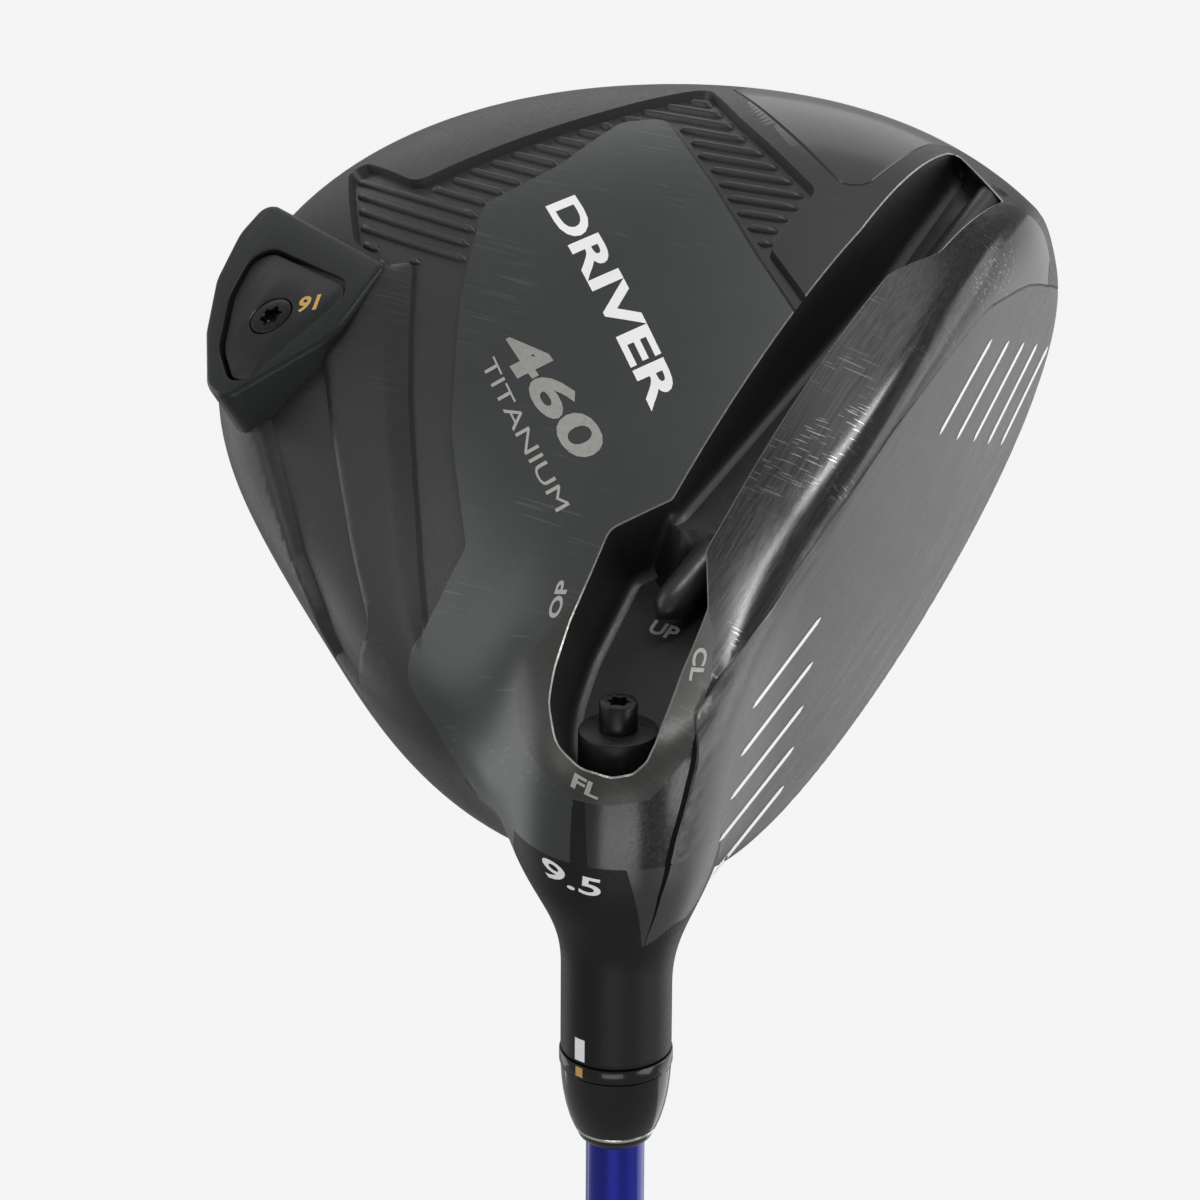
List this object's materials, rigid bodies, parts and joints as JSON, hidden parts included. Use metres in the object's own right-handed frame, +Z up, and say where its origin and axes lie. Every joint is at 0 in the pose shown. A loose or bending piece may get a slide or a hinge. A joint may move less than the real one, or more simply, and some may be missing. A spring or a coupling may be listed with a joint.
{
  "type": "adjustable golf driver",
  "caption": "Right-handed golf driver: hollow head with a sole slot, hosel screw port and rear weight, adapter, blue shaft and rubber grip.",
  "frame": {"origin": "the flat spot under the sole on which the club stands at address", "axes": "+X to the toe, +Y to the target, +Z up; the shaft leans towards -X at the lie angle"},
  "size_m": [0.7088, 0.1281, 1.0019],
  "materials": {
    "body_matte": "cast titanium under matte graphite coating, worn bright on the edges",
    "face_metal": "fine brushed titanium face, dark plated",
    "crown_gloss": "carbon crown under black gloss lacquer",
    "plate_satin": "satin slate plating with fine scratches",
    "cavity_black": "satin black",
    "insert_polymer": "soft black polymer",
    "port_black": "satin black",
    "hosel_matte": "fine matte black",
    "pod_satin": "satin dark graphite",
    "pad_rubber": "thin black rubber pad",
    "weight_metal": "dark plated heavy alloy",
    "screw_black": "black oxide steel",
    "ring_black": "black anodised",
    "hosel_screw_steel": "black steel with a glossy turned edge",
    "clip_steel": "spring steel",
    "adapter_metal": "turned and anodised",
    "collar_gloss": "glossy black with a gold index mark",
    "ferrule_gloss": "glossy black",
    "trim_silver": "bright silver",
    "plug_foam": "light plug",
    "shaft_blue": "deep metallic blue under clear lacquer",
    "tape_paper": "two-sided paper tape",
    "grip_rubber": "moulded black rubber with a fine texture",
    "cap_rubber": "smooth black rubber"
  },
  "bodies": {
    "head": {"body_casting": "body_matte", "face_plate": "face_metal", "crown_shell": "crown_gloss", "sole_plate": "plate_satin", "slot_channel": "cavity_black", "slot_insert": "insert_polymer", "port_cup": "port_black", "hosel": "hosel_matte", "weight_port": "pod_satin", "weight_pad": "pad_rubber"},
    "weight": {"weight": "weight_metal"},
    "weight_screw": {"weight_screw": "screw_black"},
    "lower_ring": {"lower_ring": "ring_black"},
    "hosel_screw": {"hosel_screw": "hosel_screw_steel", "retaining_clip": "clip_steel"},
    "shaft_group": {"adapter_sleeve": "adapter_metal", "ferrule": "ferrule_gloss", "ferrule_ring": "trim_silver", "tip_plug": "plug_foam", "shaft": "shaft_blue", "grip_tape": "tape_paper", "grip": "grip_rubber", "grip_cap": "cap_rubber"},
    "upper_ring": {"upper_ring": "collar_gloss"}
  },
  "joints": [
    {"name": "shaft_pull", "type": "slide", "parent": "head", "child": "shaft_group", "axis": [-0.5, 0, 0.866], "range_m": [0, 0.045]},
    {"name": "upper_ring_turn", "type": "hinge", "parent": "shaft_group", "child": "upper_ring", "pos_m": [-0.084, 0.046, 0.05196], "axis": [-0.5, 0, 0.866], "continuous": true},
    {"name": "lower_ring_turn", "type": "hinge", "parent": "head", "child": "lower_ring", "pos_m": [-0.061, 0.046, 0.01212], "axis": [-0.5, 0, 0.866], "continuous": true},
    {"name": "hosel_screw_turn", "type": "hinge", "parent": "head", "child": "hosel_screw", "pos_m": [-0.059, 0.046, 0.00866], "axis": [-0.5, 0, 0.866], "continuous": true},
    {"name": "weight_lift", "type": "slide", "parent": "head", "child": "weight", "axis": [0, -0.1959, -0.9806], "range_m": [0, 0.006]},
    {"name": "weight_screw_turn", "type": "hinge", "parent": "weight", "child": "weight_screw", "pos_m": [-0.0106, -0.047, 0.0054], "axis": [0, -0.1959, -0.9806], "range_deg": [0, 2700]}
  ],
  "couplings": [
    {"joint": "lower_ring_turn", "follows": "upper_ring_turn", "ratio": 1},
    {"joint": "weight_screw_turn", "follows": "weight_lift", "rad_per_m": 7853}
  ]
}
